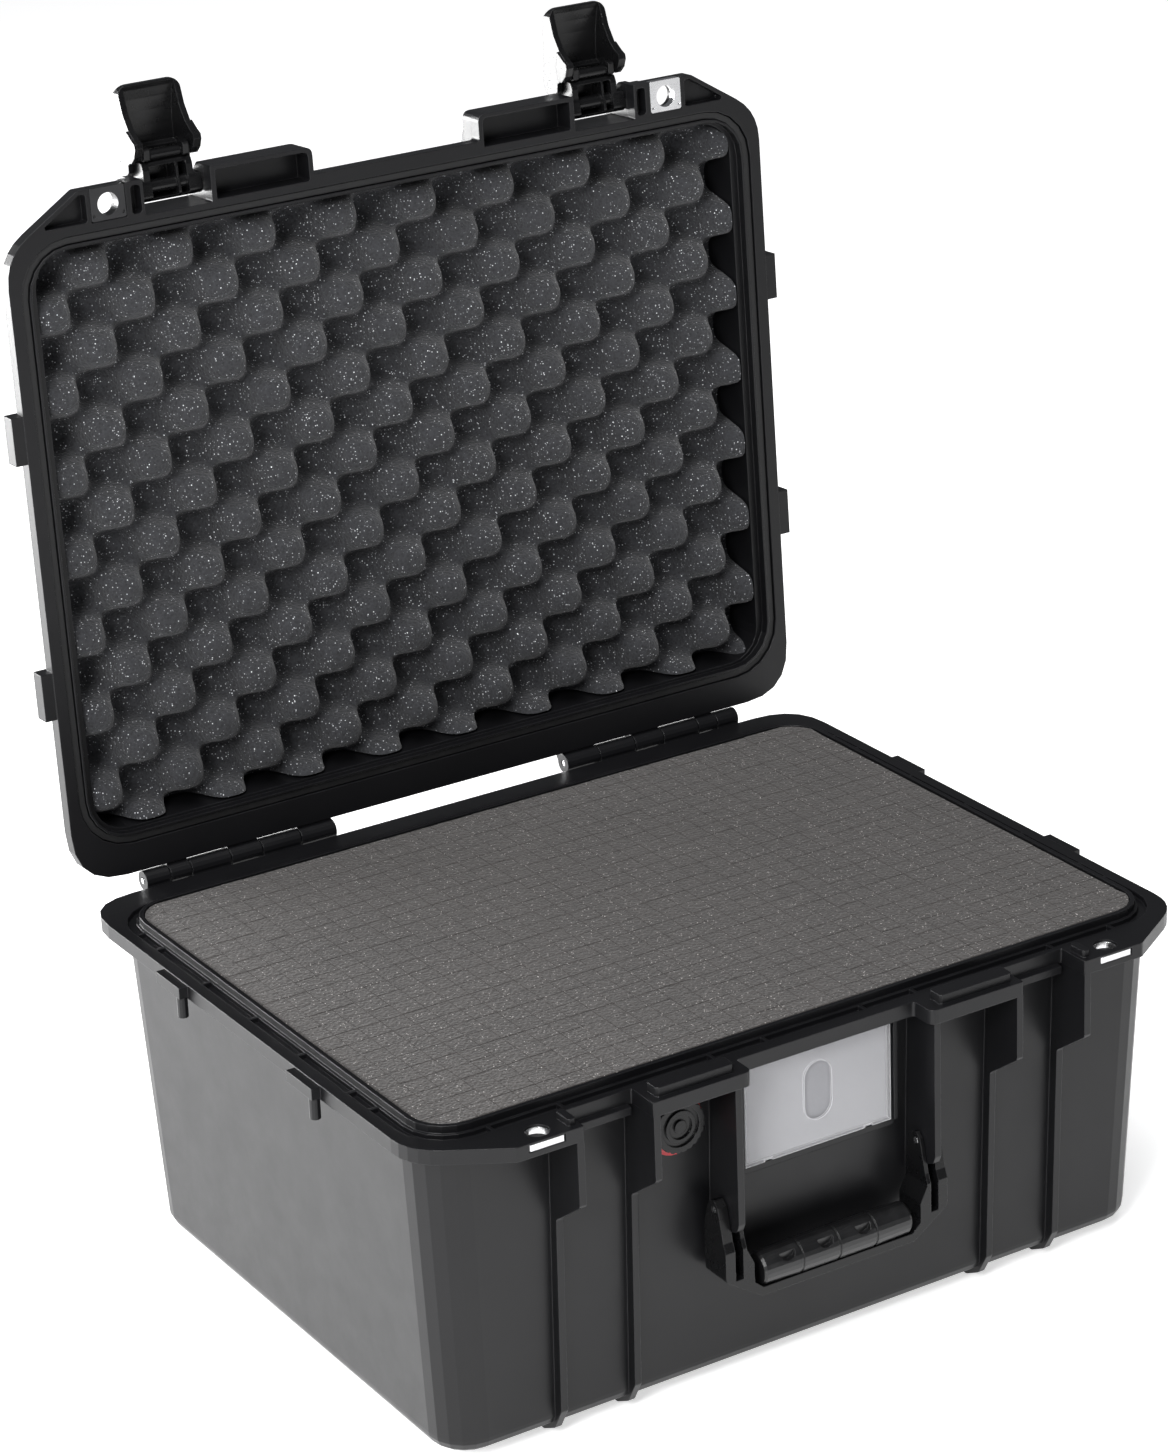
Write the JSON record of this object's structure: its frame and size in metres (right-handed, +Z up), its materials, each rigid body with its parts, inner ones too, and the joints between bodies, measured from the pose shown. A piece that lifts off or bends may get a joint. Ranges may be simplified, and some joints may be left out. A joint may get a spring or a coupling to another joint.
{
  "type": "hard equipment case",
  "caption": "Moulded hard case with a hinged lid, draw latches, a carry handle, a pressure valve, padlock plates and foam inserts, shown open.",
  "frame": {"origin": "on the floor under the middle of the foam opening; the case stands on its runners at z = 0", "axes": "+X along the front to the right, +Y from the front with the handle to the hinges at the back, +Z up"},
  "size_m": [0.4824, 0.446, 0.616],
  "materials": {
    "moulded_black": "satin",
    "latch_black": "satin",
    "rubber_black": "matte",
    "stainless": "satin",
    "silicone_red": "satin",
    "clear_cover": "gloss",
    "card_grey": "matte",
    "foam_dark": "matte",
    "foam_warm": "matte"
  },
  "bodies": {
    "base": {"base_shell": "moulded_black", "base_padlock_plate_left": "stainless", "base_padlock_plate_right": "stainless", "hinge_pin_left": "stainless", "hinge_pin_right": "stainless", "handle_pin_left": "stainless", "handle_pin_right": "stainless", "valve_o_ring": "silicone_red", "valve_body": "latch_black", "valve_cap": "latch_black", "card_cover": "clear_cover", "card_insert": "card_grey", "base_foam_pad": "foam_warm", "pick_foam_lower": "foam_warm", "pick_foam_upper": "foam_warm"},
    "lid": {"lid_shell": "moulded_black", "lid_gasket": "rubber_black", "lid_padlock_plate_left": "stainless", "lid_padlock_plate_right": "stainless", "lid_foam": "foam_dark", "latch_arm_pin_left": "stainless", "latch_arm_pin_right": "stainless"},
    "handle": {"handle_frame": "latch_black", "handle_grip": "rubber_black"},
    "latch_left": {"latch_arm_left": "latch_black", "latch_paddle_pin_left": "stainless"},
    "paddle_left": {"latch_paddle_left": "latch_black"},
    "latch_right": {"latch_arm_right": "latch_black", "latch_paddle_pin_right": "stainless"},
    "paddle_right": {"latch_paddle_right": "latch_black"}
  },
  "joints": [
    {"name": "lid_hinge", "type": "hinge", "parent": "base", "child": "lid", "pos_m": [0, 0.1918, 0.1903], "axis": [-1, 0, 0], "range_deg": [-93.3, 0]},
    {"name": "handle_swing", "type": "hinge", "parent": "base", "child": "handle", "pos_m": [0, -0.1745, 0.1085], "axis": [-1, 0, 0], "range_deg": [0, 95]},
    {"name": "latch_arm_swing_left", "type": "hinge", "parent": "lid", "child": "latch_left", "pos_m": [-0.1328, 0.22456, 0.56383], "axis": [-1, 0, 0], "range_deg": [-90, 10]},
    {"name": "paddle_swing_left", "type": "hinge", "parent": "latch_left", "child": "paddle_left", "pos_m": [-0.1328, 0.23867, 0.57404], "axis": [-1, 0, 0], "range_deg": [0, 45]},
    {"name": "latch_arm_swing_right", "type": "hinge", "parent": "lid", "child": "latch_right", "pos_m": [0.1328, 0.22456, 0.56383], "axis": [-1, 0, 0], "range_deg": [-90, 10]},
    {"name": "paddle_swing_right", "type": "hinge", "parent": "latch_right", "child": "paddle_right", "pos_m": [0.1328, 0.23867, 0.57404], "axis": [-1, 0, 0], "range_deg": [0, 45]}
  ]
}
